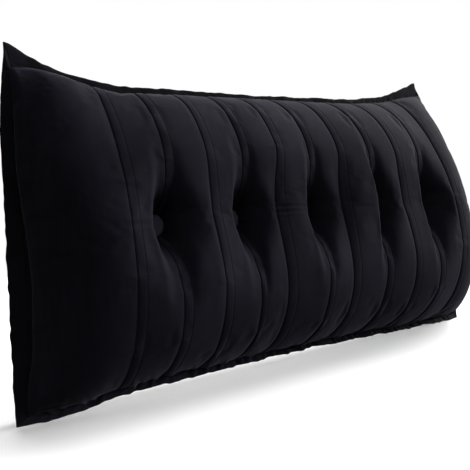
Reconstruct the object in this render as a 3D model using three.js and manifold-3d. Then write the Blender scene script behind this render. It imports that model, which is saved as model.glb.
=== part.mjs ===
// Lumbar support cushion: a long upright bolster with a flat back, a deep rounded front cover sewn from
// upright gores, a double-layer flange round its edge, five deep-buttoned tufts and a zipped back panel.
// Millimetres. +X runs along the cushion, -Y is the front that the sitter leans on, +Z is up.
// The origin is the middle of the box's underside, on the seat that the cushion stands on.
import * as THREE from "three";
import { mergeVertices } from "three/addons/utils/BufferGeometryUtils.js";
import Module from "manifold-3d";

const wasm = await Module();
wasm.setup();

// ---- driving dimensions ----
const LENGTH = 860; // seam to seam, along X
const SEAM_TOP = 491; // height of the top seam at the corners
const SAG_TOP = 32; // how far the top seam dips between the corners
const SAG_SIDE = 13; // how far the side seams draw in at mid-height
const CREST = 140.5; // crest of the finished front above the seam plane
const FRONT = CREST + 3.5; // the same before the tufts draw it in
const BACK = 43; // flat back behind the seam plane
const FLANGE = 15; // width of the flange outside the seam at the corners
const FLANGE_THICK = 5.2;
const EAR = 15; // how much higher the flange's top corners stand
const SEAM_GAP = 3; // cover edges stand this far from the seam plane
const COVER = 4; // quilted velvet cover
const WADDING = 19; // depth of the front wadding's inner face below the cover's outer face
const LAYER_GAP = 0.5;
const PITCH = 63.5; // distance between neighbouring gore seams
const GORES = 10; // full gores between the two end panels
const BUTTON_Z = 246;
const BUTTON_R = 17;
const BUTTON_FLOORS = [56, 58, 74, 60, 60]; // depth planes that the five buttons pull the cover down to
const BACK_BUTTON_R = 12;
const BACK_BUTTON_H = 4;
const TWINE_R = 0.8;
const TWINE_HOLE_R = 1.9;
const BACK_CLOTH = 2.5;
const CORE_BACK = 33; // foam's back face behind the seam plane
const ZIP_Z = 70; // height of the zip
const ZIP_HALF = 344; // half the zip's length
const ZIP_SLOT = 6; // half the height of the opening it shows through
const SLIDER_X = 325; // the slider, closed

const HALF = LENGTH / 2;
const Y0 = (CREST - (BACK + 0.3 + BACK_BUTTON_H)) / 2; // puts the origin in the middle of the depth
const BUTTONS = [-4, -2, 0, 2, 4].map((k) => k * PITCH);
const SEAMS = Array.from({ length: GORES + 1 }, (_, k) => (k - GORES / 2) * PITCH);

// ---- materials ----
const cloth = (color, roughness = 0.95) => new THREE.MeshStandardMaterial({ color, roughness, metalness: 0 });
const velvet = () => cloth(0x1b1b20, 0.9);
const backCloth = () => cloth(0x17171b, 0.95);
const wadding = () => cloth(0xe9e7e1, 1);
const foam = () => cloth(0xe6dcae, 1);
const thread = () => cloth(0x202024, 0.8);
const nylon = () => new THREE.MeshStandardMaterial({ color: 0x121214, roughness: 0.5, metalness: 0 });
const metal = () => new THREE.MeshStandardMaterial({ color: 0x2a2a2d, roughness: 0.35, metalness: 0.85 });

// ---- helpers ----
const at = (x, h, z) => new THREE.Vector3(x, Y0 - h, z); // h is the distance in front of the seam plane

// A segmented box whose vertices are moved: i counts along X, j up, back is the side away from the front.
function sheet(nx, nz, place) {
  const g = new THREE.BoxGeometry(nx, 1, nz, nx, 1, nz);
  const p = g.attributes.position;
  for (let v = 0; v < p.count; v++) {
    const q = place(Math.round(p.getX(v) + nx / 2), Math.round(p.getZ(v) + nz / 2), p.getY(v) > 0);
    p.setXYZ(v, q.x, q.y, q.z);
  }
  // the back face's squares fold along the same diagonals as the front face's, so layers nest
  const { start, count } = g.groups[2];
  for (let k = start; k < start + count; k += 6) {
    const a = g.index.getX(k), b = g.index.getX(k + 1), c = g.index.getX(k + 4), d = g.index.getX(k + 2);
    [a, b, c, a, c, d].forEach((n, m) => g.index.setX(k + m, n));
  }
  return weld(g);
}

function weld(g) {
  g.deleteAttribute("normal");
  g.deleteAttribute("uv");
  const m = mergeVertices(g, 1e-4);
  m.clearGroups();
  m.computeVertexNormals();
  return m;
}

function solid(g) {
  const m = weld(g.clone());
  return new wasm.Manifold(
    new wasm.Mesh({ numProp: 3, vertProperties: m.attributes.position.array, triVerts: new Uint32Array(m.index.array) }),
  );
}

function geometryOf(s) {
  const m = s.getMesh();
  const g = new THREE.BufferGeometry()
    .setAttribute("position", new THREE.BufferAttribute(new Float32Array(m.vertProperties), 3))
    .setIndex(new THREE.BufferAttribute(new Uint32Array(m.triVerts), 1));
  g.computeVertexNormals();
  return g;
}

const box = (x0, x1, h0, h1, z0, z1) =>
  new THREE.BoxGeometry(x1 - x0, h1 - h0, z1 - z0).translate((x0 + x1) / 2, Y0 - (h0 + h1) / 2, (z0 + z1) / 2);
const join = (parts) => geometryOf(parts.map(solid).reduce((a, b) => a.add(b)));

// Holes for the tufting twine, straight through from front to back.
function drill(g, xs) {
  if (!xs.length) return g;
  let s = solid(g);
  for (const x of xs)
    s = s.subtract(solid(new THREE.CylinderGeometry(TWINE_HOLE_R, TWINE_HOLE_R, 400, 8).translate(x, 0, BUTTON_Z)));
  return geometryOf(s);
}

const root = new THREE.Group();
function put(parent, name, geometry, material) {
  const m = new THREE.Mesh(geometry, material);
  m.name = name;
  parent.add(m);
  return m;
}

// ---- the cushion's shape ----
const smooth = (a, b, v) => {
  const t = Math.min(1, Math.max(0, (v - a) / (b - a)));
  return t * t * (3 - 2 * t);
};
const topAt = (x) => SEAM_TOP - SAG_TOP * (1 - smooth(0.55, 1, Math.abs(x / HALF)));
const sideAt = (z) => SAG_SIDE * (1 - Math.abs((2 * z) / SEAM_TOP - 1) ** 2.5);

// Front cross-section, from the bottom seam round the front to the top seam: [depth, height].
const PROFILE = [
  [SEAM_GAP, 0], [42, 0], [82, 0], [112, 19], [131, 54], [140, 98], [FRONT, 148], [141, 197], [135, BUTTON_Z - 19],
  [133, BUTTON_Z], [133, BUTTON_Z + 19], [134, 302], [132, 344], [123, 387], [107, 424], [80, 456], [43, 481],
  [SEAM_GAP, SEAM_TOP],
];
const ROWS = PROFILE.length - 1;

// Columns across one gore: finest beside its button.
const ACROSS = [0, 19, 38, PITCH];
const END = [0, 3, 12, 32, 64]; // from the end seam towards the first gore seam

const nearest = (x) => BUTTONS.reduce((best, b, k) => (Math.abs(x - b) < Math.abs(x - BUTTONS[best]) ? k : best), 0);

// How far a button draws the cover down, from its column and row.
function tuft(x, z) {
  const d = Math.abs(x - BUTTONS[nearest(x)]);
  const across = d <= 19.5 ? 1 : d <= 40 ? 0.42 : 0;
  const away = Math.max(0, Math.abs(z - BUTTON_Z) - 19);
  return across * Math.exp(-((away / 55) ** 2));
}

// A point of the front at column x and profile row j, t below the outer face.
function front(x, j, t) {
  const q = Math.min(1, Math.abs(x) / HALF), s = Math.sign(x);
  const fade = Math.sqrt(Math.max(0, 1 - q ** 10));
  let [h, z] = PROFILE[j];
  const row = z;
  const zt = topAt(x);
  if (z > BUTTON_Z) z = BUTTON_Z + ((z - BUTTON_Z) * (zt - BUTTON_Z)) / (SEAM_TOP - BUTTON_Z);
  if (j === 1 || j === 2) z += 6 * j * Math.max(0, (q - 0.75) / 0.25) ** 3;
  const seam = SEAMS.some((k) => Math.abs(x - k) < 0.5) && row > 0 ? 3.5 : 0;
  h = SEAM_GAP + (h - SEAM_GAP) * fade - (seam * (h - SEAM_GAP)) / FRONT;
  const pull = tuft(x, row);
  h = h * (1 - pull) + BUTTON_FLOORS[nearest(x)] * pull;
  const w = (2 * z) / zt - 1;
  const X = x - s * sideAt(row) * q ** 6;
  return at(
    X - s * t * q ** 8,
    h - t * (1 - Math.exp(-(h - SEAM_GAP) / 25)),
    z - Math.sign(w) * t * Math.abs(w) ** 6,
  );
}
const shell = (xs, t0, t1) => sheet(xs.length - 1, ROWS, (i, j, back) => front(xs[i], j, back ? t1 : t0));

function goreColumns(k) {
  const a = SEAMS[k], b = SEAMS[k + 1];
  return k % 2 === 1 ? ACROSS.map((d) => a + d) : ACROSS.map((d) => b - d).reverse();
}
const endLeft = [...END.map((d) => -HALF + d), SEAMS[0]];
const endRight = endLeft.map((x) => -x).reverse();
const trim = (xs, a, b) => xs.map((x, i) => (i === 0 ? x + a : i === xs.length - 1 ? x - b : x));

// ---- front cover: two end panels and ten gores ----
const cover = new THREE.Group();
root.add(cover);
put(cover, "end_panel_left", shell(trim(endLeft, 0, 0.2), 0, COVER), velvet());
for (let k = 0; k < GORES; k++) {
  const xs = trim(goreColumns(k), 0.2, 0.2);
  const hole = BUTTONS.filter((b) => Math.abs(b - SEAMS[k]) < 1 || Math.abs(b - SEAMS[k + 1]) < 1);
  put(cover, "front_gore_" + String(k + 1).padStart(2, "0"), drill(shell(xs, 0, COVER), hole), velvet());
}
put(cover, "end_panel_right", shell(trim(endRight, 0.2, 0), 0, COVER), velvet());

// ---- filling ----
const columns = [...endLeft];
for (let k = 0; k < GORES; k++) columns.push(...goreColumns(k).slice(1));
columns.push(...endRight.slice(1));
put(root, "front_wadding", drill(shell(columns, COVER + LAYER_GAP, WADDING), BUTTONS), wadding());

const coreTop = (x) => topAt(x) - 27;
put(
  root,
  "foam_core",
  drill(
    sheet(columns.length - 1, ROWS, (i, j, back) => {
      const x = columns[i];
      if (!back) return front(x, j, WADDING + LAYER_GAP);
      const z = 26 + (coreTop(x) - 26) * (j / ROWS);
      return at(x * ((HALF - 27) / HALF), -CORE_BACK, z);
    }),
    BUTTONS,
  ),
  foam(),
);

const padXs = [-400, -300, -200, -100, 0, 100, 200, 300, 400];
put(
  root,
  "back_wadding",
  drill(
    sheet(padXs.length - 1, 1, (i, j, back) =>
      at(padXs[i], back ? -(BACK - BACK_CLOTH - 0.4) : -(CORE_BACK + 0.4), j ? topAt(padXs[i]) - 31 : ZIP_Z + 24),
    ),
    BUTTONS,
  ),
  wadding(),
);

// ---- back panels, above and below the zip ----
const edge = [[0, 0], [4, 0.55], [12, 0.85], [26, 1]]; // distance in from the seam, share of the full depth
const shareAt = (d) => {
  for (let k = 1; k < edge.length; k++)
    if (d <= edge[k][0])
      return edge[k - 1][1] + ((edge[k][1] - edge[k - 1][1]) * (d - edge[k - 1][0])) / (edge[k][0] - edge[k - 1][0]);
  return 1;
};
const halfXs = [HALF, HALF - 4, HALF - 12, HALF - 26, ZIP_HALF + 2, ZIP_HALF - 2, 200];
const backXs = [...halfXs.map((x) => -x), 0, ...halfXs.slice().reverse()];
const slotAt = (x) => (Math.abs(x) > ZIP_HALF ? 0.2 : ZIP_SLOT);
const lip = -(36 + 0.3); // the folded edge stops just short of the zip tape

function backPoint(x, z, dz, inner) {
  const s = Math.sign(x), dx = HALF - Math.abs(x);
  const share = Math.min(shareAt(dx), shareAt(dz));
  const draw = s * sideAt(z) * (1 - Math.min(1, dx / 26));
  return {
    x: x - draw - (inner ? s * BACK_CLOTH * (1 - shareAt(dx)) : 0),
    h: -SEAM_GAP - (BACK - SEAM_GAP) * share + (inner ? BACK_CLOTH * share : 0),
    share,
  };
}
const topSteps = [0, 4, 12, 26];
put(
  root,
  "back_panel_upper",
  drill(
    sheet(backXs.length - 1, 7, (i, j, outer) => {
      const x = backXs[i], zt = topAt(x), inner = !outer;
      const z0 = ZIP_Z + slotAt(x) + (inner ? BACK_CLOTH : 0);
      if (j === 0) {
        const p = backPoint(x, z0, 99, inner);
        return at(p.x, Math.max(lip, p.h + 0.01) === lip ? lip : Math.min(p.h + 2, -SEAM_GAP), z0);
      }
      if (j === 1) {
        const p = backPoint(x, z0, 99, inner);
        return at(p.x, p.h, z0);
      }
      if (j === 2 || j === 3) {
        const z = j === 2 ? 150 : 330, p = backPoint(x, z, 99, inner);
        return at(p.x, p.h, z);
      }
      const d = topSteps[7 - j], p = backPoint(x, SEAM_TOP - d, d, inner);
      return at(p.x, p.h, zt - d - (inner ? BACK_CLOTH * (1 - shareAt(d)) : 0));
    }),
    BUTTONS,
  ),
  backCloth(),
);
const LOW = [[SEAM_GAP, 0], [25, 0], [38, 5], [BACK, 17]]; // underside of the back: [depth, height]
put(
  root,
  "back_panel_lower",
  sheet(backXs.length - 1, 5, (i, j, outer) => {
    const x = backXs[i], inner = !outer;
    if (j < 4) {
      const [d, z] = LOW[j];
      const p = backPoint(x, z, 99, inner);
      const round = Math.max(0, (Math.abs(x) / HALF - 0.75) / 0.25) ** 3;
      const depth = Math.min(d, -p.h + (inner ? BACK_CLOTH * p.share : 0));
      return at(
        p.x,
        -(depth - (inner && j > 1 ? BACK_CLOTH * (j - 1) / 2 * p.share : 0)),
        z + (inner && j < 3 ? BACK_CLOTH * (1 - j * 0.2) : 0) + 3 * j * round,
      );
    }
    const z0 = ZIP_Z - slotAt(x) - (inner ? BACK_CLOTH : 0);
    const p = backPoint(x, z0, 99, inner);
    return at(p.x, j === 4 ? p.h : Math.max(lip, p.h + 0.01) === lip ? lip : Math.min(p.h + 2, -SEAM_GAP), z0);
  }),
  backCloth(),
);

// ---- flange: four double-layer strips, mitred at the corners ----
const flangeMesh = (name, points) => {
  const shape = new THREE.Shape(points.map(([x, z]) => new THREE.Vector2(x, z)));
  const g = new THREE.ExtrudeGeometry(shape, { depth: FLANGE_THICK, bevelEnabled: false, steps: 1 });
  g.rotateX(Math.PI / 2).translate(0, Y0 + FLANGE_THICK / 2, 0); // the outline's y becomes z
  put(root, name, weld(g), velvet());
};
const stops = Array.from({ length: 17 }, (_, k) => -1 + k / 8);
const ROOT_IN = 9; // seam allowance inside the seam
const outTop = (q) => topAt(q * HALF) + FLANGE + EAR * Math.abs(q) ** 12;
const M = 0.25; // half the gap at a mitre
flangeMesh("flange_top", [
  ...stops.map((q) => [q * (HALF + FLANGE - M * 2), outTop(q)]),
  ...stops.slice().reverse().map((q) => [q * (HALF - ROOT_IN - M * 2), topAt(q * HALF) - ROOT_IN]),
].reverse());
const upright = Array.from({ length: 9 }, (_, k) => k / 8);
for (const s of [-1, 1]) {
  const outer = upright.map((f) => {
    const z = f * (outTop(1) - 2 * M) + M * 2 * (1 - f);
    return [s * (HALF + FLANGE), z];
  });
  const inner = upright.map((f) => [s * (HALF - ROOT_IN - sideAt(f * SEAM_TOP)), 19.4 + f * (SEAM_TOP - ROOT_IN - 2 * M - 19.4)]);
  const loop = [...outer, ...inner.reverse()];
  flangeMesh(s < 0 ? "flange_left" : "flange_right", s < 0 ? loop.reverse() : loop);
}
flangeMesh("flange_bottom", [
  ...stops.map((q) => [q * (HALF + FLANGE - 2.4), 8 * (1 - Math.abs(q) ** 3)]),
  ...stops.slice().reverse().map((q) => [q * (HALF - ROOT_IN - 1), 18.8]),
]);

// ---- tufts: a covered button in front, twine through the filling, a flat button behind ----
const faceFront = (g) => g.rotateX(Math.PI); // a turned piece's axis points along -Y, towards the front
BUTTONS.forEach((x, n) => {
  const v = (r, y) => new THREE.Vector2(r, y);
  const capGeometry = new THREE.LatheGeometry(
    [v(0, 0), v(BUTTON_R - 2, 0), v(BUTTON_R, 2.4), v(BUTTON_R - 1, 6), v(BUTTON_R - 6, 9.4), v(0, 11)], 16);
  put(root, "front_button_" + (n + 1), weld(faceFront(capGeometry).translate(x, Y0 - BUTTON_FLOORS[n] - 0.4, BUTTON_Z)), velvet());
  const disc = new THREE.LatheGeometry(
    [v(0, 0), v(BACK_BUTTON_R, 0), v(BACK_BUTTON_R, 2.4), v(BACK_BUTTON_R - 2, BACK_BUTTON_H), v(0, BACK_BUTTON_H)], 16);
  put(root, "back_button_" + (n + 1), weld(disc.translate(x, Y0 + BACK + 0.3, BUTTON_Z)), backCloth());
  const front0 = BUTTON_FLOORS[n] + 0.1, len = front0 + BACK;
  put(root, "tufting_twine_" + (n + 1),
    weld(new THREE.CylinderGeometry(TWINE_R, TWINE_R, len, 6).translate(x, Y0 - front0 + len / 2, BUTTON_Z)), thread());
});

// ---- zip ----
const zip = new THREE.Group();
root.add(zip);
const TAPE = [-36, -35.2];
put(zip, "zip_tape_lower", weld(box(-ZIP_HALF, ZIP_HALF, ...TAPE, ZIP_Z - 18, ZIP_Z - 0.7)), cloth(0x131316));
put(zip, "zip_tape_upper", weld(box(-ZIP_HALF, ZIP_HALF, ...TAPE, ZIP_Z + 0.7, ZIP_Z + 18)), cloth(0x131316));
const TEETH = [-37.9, -36.3];
put(zip, "zip_teeth_lower", weld(box(-334.5, 333, ...TEETH, ZIP_Z - 2.7, ZIP_Z - 0.7)), nylon());
put(zip, "zip_teeth_upper", weld(box(-334.5, 333, ...TEETH, ZIP_Z + 0.7, ZIP_Z + 2.7)), nylon());
put(zip, "zip_bottom_stop", weld(box(-338, -335, -38.4, -36.3, ZIP_Z - 3.2, ZIP_Z + 3.2)), metal());
put(zip, "zip_top_stop_lower", weld(box(333.5, 336, -38.2, -36.3, ZIP_Z - 2.7, ZIP_Z - 0.7)), metal());
put(zip, "zip_top_stop_upper", weld(box(333.5, 336, -38.2, -36.3, ZIP_Z + 0.7, ZIP_Z + 2.7)), metal());

const slider = new THREE.Group();
slider.position.set(SLIDER_X, 0, ZIP_Z);
zip.add(slider);
put(slider, "zip_slider", join([
  box(-5.5, 5.5, -39.9, -38.3, -4.2, 4.2), // outer plate
  box(-5.5, 5.5, -38.31, -36.6, -4.2, -3.2), box(-5.5, 5.5, -38.31, -36.6, 3.2, 4.2), // its side flanges
  box(-1.5, 3.5, -38.31, -34.79, -0.4, 0.4), // post between the two rows of teeth
  box(-5.5, 5.5, -34.8, -33.8, -4, 4), // inner plate
  box(-2.8, -1.7, -42.9, -39.89, -0.8, 0.8), box(1.7, 2.8, -42.9, -39.89, -0.8, 0.8), // bridge
  box(-2.8, 2.8, -42.9, -42, -0.8, 0.8),
]), metal());
// The pull tab lies along the zip, its end bar under the bridge.
const tab = new THREE.Group();
tab.position.set(0, Y0 + 40.95, 0);
slider.add(tab);
const outline = new THREE.Shape([[0.6, -3.2], [0.6, 3.2], [-14, 3.5], [-22, 3.1], [-24, 1.8], [-24, -1.8], [-22, -3.1], [-14, -3.5]]
  .map(([x, y]) => new THREE.Vector2(x, y)));
outline.holes.push(new THREE.Path([[-0.6, -1.7], [-4, -1.7], [-4, 1.7], [-0.6, 1.7]].map(([x, y]) => new THREE.Vector2(x, y))));
outline.holes.push(new THREE.Path([[-18, -1.4], [-21, -1.4], [-21, 1.4], [-18, 1.4]].map(([x, y]) => new THREE.Vector2(x, y))));
const tabGeometry = new THREE.ExtrudeGeometry(outline, { depth: 1.2, bevelEnabled: false });
tabGeometry.rotateX(Math.PI / 2).translate(0, 0.6, 0);
put(tab, "zip_pull_tab", weld(tabGeometry), metal());

export default root;
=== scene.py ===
import math

import bpy
import numpy as np
from mathutils import Matrix, Vector


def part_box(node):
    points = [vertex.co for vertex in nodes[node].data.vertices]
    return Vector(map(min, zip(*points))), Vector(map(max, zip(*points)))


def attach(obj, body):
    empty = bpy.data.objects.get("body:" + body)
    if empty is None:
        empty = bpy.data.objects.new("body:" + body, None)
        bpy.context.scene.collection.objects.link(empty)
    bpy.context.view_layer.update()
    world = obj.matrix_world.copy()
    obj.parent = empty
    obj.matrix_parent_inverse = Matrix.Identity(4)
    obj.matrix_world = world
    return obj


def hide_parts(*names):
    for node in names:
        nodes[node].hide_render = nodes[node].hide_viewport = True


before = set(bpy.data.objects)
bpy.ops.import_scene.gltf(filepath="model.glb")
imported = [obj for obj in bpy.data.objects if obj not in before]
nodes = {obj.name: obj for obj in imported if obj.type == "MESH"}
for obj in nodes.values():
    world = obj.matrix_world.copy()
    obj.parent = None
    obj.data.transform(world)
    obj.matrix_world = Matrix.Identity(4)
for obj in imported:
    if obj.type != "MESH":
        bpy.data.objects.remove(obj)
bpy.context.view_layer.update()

scene = bpy.context.scene

# ------------------------------------------------------------------ driving sizes, millimetres
# x runs along the cushion, h is the distance in front of the seam plane, z is the height.
Y0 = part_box("flange_top")[0].y * 1000 + 2.6  # the seam plane
HALF = 430.0
PITCH = 63.5
ZC = 251.0
BUTTON_Z = 246.0
BUTTONS = [-254.0, -127.0, 0.0, 127.0, 254.0]
FLOORS = [56.0, 58.0, 74.0, 60.0, 60.0]
REACH_LEFT = [34.0, 32.0, 22.0, 18.0, 25.0]
OVERHANG = [0.0, 0.0, 4.0, 13.0, 4.0]
SWELL = [0.0, 0.0, 2.0, 10.0, 3.0]
SEAMS = [k * PITCH for k in range(-5, 6)]
EXPONENT = 2.593
STITCH_AT = 13.0  # topstitching beside each seam


def smooth(a, b, v):
    t = np.clip((np.asarray(v, float) - a) / (b - a), 0, 1)
    return t * t * (3 - 2 * t)


def smoother(a, b, v):
    t = np.clip((np.asarray(v, float) - a) / (b - a), 0, 1)
    return t * t * t * (t * (6 * t - 15) + 10)


def curve(xs, ys, blur=12.0):
    """A smooth curve through a few stated points, as a function of one coordinate."""
    fine = np.arange(min(xs) - 60, max(xs) + 60, 1.0)
    v = np.interp(fine, xs, ys)
    n = int(blur * 3)
    k = np.exp(-0.5 * (np.arange(-n, n + 1) / blur) ** 2)
    v = np.convolve(np.pad(v, n, mode="edge"), k / k.sum(), "valid")
    return lambda x: np.interp(x, fine, v)


def ripples(seed, size, length=1400):
    """Uneven ripples along a line: a smooth random series of unit height whose bumps are about size wide."""
    r = np.random.default_rng(seed)
    step = 0.5
    n = int(length / step)
    v = r.standard_normal(n)
    m = int(size / step)
    k = np.exp(-0.5 * (np.arange(-3 * m, 3 * m + 1) / m) ** 2)
    v = np.convolve(v, k / k.sum(), "same")
    v /= np.abs(v).std() + v.std()
    return lambda x: np.interp(np.asarray(x, float) + length / 2, np.arange(n) * step, v)


top_seam = curve(
    [-430, -402, -373, -356, -327, -302, -277, 196, 295, 373, 430],
    [ZC + v for v in (243, 243, 236, 231, 220, 213, 208, 208, 216, 231, 240)], 9)
bottom_seam = curve(
    [-430, -402, -353, -318, -244, 28, 140, 201, 266, 335, 409, 430],
    [ZC - v for v in (239, 238, 234, 229, 224, 225, 228, 230, 233, 234, 237, 237)], 9)
side_left = curve(
    [ZC + v for v in (-239, -217, -191, -155, -102, -62, -35, 10, 85, 121, 208, 243)],
    [0, 1, 6, 12, 14, 16, 14, 11, 4, 4, 5, 0], 10)
side_right = curve([0, 60, 160, 250, 340, 440, 495], [0, 6, 12, 13, 11, 5, 0], 14)

# Roundness of the front at each gore seam, from the bottom seam (-1) to the top one (1).
W_AT = np.array([-1, -0.8, -0.6, -0.4, -0.25, 0, 0.25, 0.4, 0.6, 0.8, 1.0])
CROWN = np.array([
    [140, 146, 149, 150, 149, 145, 136, 127, 116, 104, 100],
    [156, 163, 161, 157, 151, 143, 140, 137, 131, 122, 118],
    [153, 160, 159, 155, 146, 129, 131, 137, 135, 131, 128],
    [150, 156, 153, 147, 141, 134, 133, 134, 131, 126, 122],
    [140, 145, 146, 140, 131, 120, 126, 138, 137, 132, 128],
    [150, 154, 153, 152, 144, 134, 132, 133, 132, 126, 122],
    [140, 147, 148, 141, 133, 122, 124, 133, 131, 126, 122],
    [140, 147, 149, 149, 148, 147, 144, 140, 135, 128, 124],
    [150, 156, 155, 150, 142, 129, 130, 136, 134, 129, 126],
    [152, 158, 157, 152, 147, 142, 138, 135, 131, 122, 118],
    [140, 146, 149, 150, 148, 143, 132, 123, 114, 104, 98],
], float)
# The seams between two buttons lean a little towards the left one.
LEAN = {4: -13.0, 6: -11.0}


def crown(x, w):
    fine_w = np.linspace(-1, 1, 401)
    rows = np.array([np.interp(fine_w, W_AT, c) for c in CROWN])
    k = np.exp(-0.5 * (np.arange(-36, 37) / 12.0) ** 2)
    k /= k.sum()
    rows = np.array([np.convolve(np.pad(r, 36, mode="edge"), k, "valid") for r in rows])
    fx = np.clip((x + 5 * PITCH) / PITCH, 0, 10)
    i = np.minimum(fx.astype(int), 9)
    t = fx - i
    j = np.clip((w + 1) * 200, 0, 400)
    j0 = np.minimum(j.astype(int), 399)
    s = j - j0
    at = lambda a: rows[a, j0] * (1 - s) + rows[a, j0 + 1] * s
    return at(i) * (1 - t) + at(np.minimum(i + 1, 10)) * t


# Steps of equal length round a front of average depth, so rows are even.
_t = np.linspace(-math.pi / 2, math.pi / 2, 20001)
_w = np.sign(_t) * np.abs(np.sin(_t)) ** (2 / EXPONENT)
_len = np.concatenate([[0], np.cumsum(np.hypot(np.diff(_w) * 222, np.diff(np.cos(_t)) * 138))])
ARC = float(_len[-1])


def angle_at(v):
    return np.interp(np.asarray(v) * ARC, _len, _t)


bottom_gather, left_gather, top_gather, right_gather = ripples(11, 3.2), ripples(12, 6.0), ripples(13, 4.5), ripples(14, 6.0)
long_gather = ripples(15, 9.0)


def hollow(x, z):
    """How far the five buttons draw the front down at (x, z): share of the way to each button's floor."""
    share = np.zeros_like(x)
    floor = np.full_like(x, FLOORS[0])
    for b, f, left in zip(BUTTONS, FLOORS, REACH_LEFT):
        dx, dz = x - b, z - BUTTON_Z
        fall = 1 / (1 + (np.maximum(0, np.abs(dz) - 9) / 26) ** 2)
        tail = 1 / (1 + (121 / 26) ** 2)
        fall = np.clip((fall - tail) / (1 - tail), 0, 1)
        narrow = 0.62 + 0.38 * np.exp(-((dz / 52) ** 2))
        # the left side folds steeply towards the button, the right one rises gently
        steep = 1 - smoother(0.22, 1, np.abs(dx) / np.maximum(15, left * (narrow * 0.6 + 0.4)))
        e = np.maximum(0, dx - 12) / (13 * narrow)
        gentle = (1 / (1 + e * e)) * (1 - smooth(30, 66, dx))
        # a soft shoulder before the fold
        shoulder = 0.10 * (1 - smoother(0.2, 1, np.abs(dx) / (left + 46))) / (1 + (dz / 58) ** 2) * (1 - smooth(70, 125, np.abs(dz)))
        s = fall * np.where(dx < 0, steep, gentle)
        s = np.where(dx < 0, s + (1 - s) * shoulder, s + (1 - s) * 0.10 * gentle / (1 + (dz / 58) ** 2) * (1 - smooth(70, 125, np.abs(dz))))
        floor = np.where(s > share, f, floor)
        share = np.maximum(share, s)
    return share, floor


def front(u, v, puff=1.1, lines=True):
    """Points of the front cover, for column u (mm along x) and row v (0 at the bottom seam, 1 at the top)."""
    u, v = np.broadcast_arrays(np.asarray(u, float), np.asarray(v, float))
    th = angle_at(v)
    w = np.sign(th) * np.abs(np.sin(th)) ** (2 / EXPONENT)
    q = np.minimum(1, np.abs(u) / HALF)
    zt, zb = top_seam(u), bottom_seam(u)
    z = np.where(w > 0, ZC + w * (zt - ZC), ZC + w * (ZC - zb))
    steepness = np.where(u < 0, 5.0, 9.0)
    fade = np.where(np.abs(u) > 317.5, np.sqrt(np.clip((1 - q ** steepness) / (1 - (317.5 / HALF) ** steepness), 0, 1)), 1.0)
    # seams lean between the buttons
    g = (u + 5 * PITCH) / PITCH
    lean = np.zeros_like(u)
    for k, amount in LEAN.items():
        lean += amount * np.clip(1 - np.abs(g - k), 0, 1) * (1 - smooth(0.05, 0.55, w) * 0.75)
    h = crown(u, w) * fade * np.cos(th)
    # each gore swells between its seams
    inside = (g >= 0) & (g <= 10)
    t = np.where(inside, g - np.floor(np.clip(g, 0, 9.9999)), 0.5)
    swell = puff * (1 - np.abs(2 * t - 1) ** 2.0) ** 0.75 * np.clip(np.cos(th) * 1.6, 0, 1)
    end = np.where(inside, 0, 1)
    e = np.clip((np.abs(u) - 317.5) / 112.5, 0, 1)
    swell = np.where(end > 0, 3.0 * np.sin(np.pi * np.minimum(1, e * 1.3)) * np.clip(np.cos(th) * 1.6, 0, 1), swell)
    h = h + swell
    share, floor = hollow(u + lean * 0, z)
    h = h * (1 - share) + floor * share
    x = u + lean * (1 - share)
    # the swell on the left of a tuft leans over its hollow
    for b, over, rise in zip(BUTTONS, OVERHANG, SWELL):
        near = np.exp(-(((u - b + 21) / 17) ** 2)) * np.exp(-(((z - 254) / 60) ** 2))
        x = x + over * near
        h = h + rise * np.exp(-(((u - b + 30) / 23) ** 2)) * np.exp(-(((z - 254) / 60) ** 2))
    s = np.sign(x)
    side = np.where(x < 0, side_left(z), side_right(z))
    x = x - s * side * q ** 6
    return x, h, z, w, share


def points(x, h, z):
    return np.stack([x, Y0 - h, z], -1)


def normals(p):
    """Unit normals of a grid of points, pointing out of the front."""
    du, dv = np.gradient(p, axis=0), np.gradient(p, axis=1)
    n = np.cross(du, dv)
    n /= np.linalg.norm(n, axis=-1, keepdims=True) + 1e-12
    return n


# ------------------------------------------------------------------ mesh helpers
def mesh_object(name, verts, faces, material, uvs=None, smooth_shade=True, scale=0.001):
    me = bpy.data.meshes.new(name)
    verts = np.asarray(verts, float).reshape(-1, 3) * scale
    me.from_pydata(verts.tolist(), [], [tuple(f) for f in np.asarray(faces).tolist()] if not isinstance(faces, list) else faces)
    if uvs is not None:
        layer = me.uv_layers.new(name="UVMap")
        idx = np.zeros(len(me.loops), np.int32)
        me.loops.foreach_get("vertex_index", idx)
        layer.data.foreach_set("uv", np.asarray(uvs, np.float32).reshape(-1, 2)[idx].ravel())
    if smooth_shade:
        me.shade_smooth()
    me.update()
    o = bpy.data.objects.new(name, me)
    scene.collection.objects.link(o)
    if material is not None:
        me.materials.append(material)
    return o


def grid_faces(n, m, flip=False, offset=0):
    i, j = np.meshgrid(np.arange(n - 1), np.arange(m - 1), indexing="ij")
    a = (i * m + j).ravel() + offset
    f = np.stack([a, a + m, a + m + 1, a + 1], -1)
    return f[:, ::-1] if flip else f


def rim_of(n, m):
    """Indices of a grid's outline, in order."""
    i = np.arange(n)
    j = np.arange(m)
    return np.concatenate([i[:-1] * m, (n - 1) * m + j[:-1], i[:0:-1] * m + m - 1, j[:0:-1]])


def skirted(p, depth, n):
    """A grid with a hem turned in behind its outline, so that its edges have thickness."""
    a, b = p.shape[:2]
    rim = rim_of(a, b)
    flat, fn = p.reshape(-1, 3), n.reshape(-1, 3)
    hem = flat[rim] - fn[rim] * depth
    k = len(rim)
    verts = np.concatenate([flat, hem])
    r2 = np.roll(rim, -1)
    h1 = np.arange(k) + a * b
    faces = np.concatenate([grid_faces(a, b), np.stack([rim, h1, np.roll(h1, -1), r2], -1)])
    return verts, faces, rim


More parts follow.
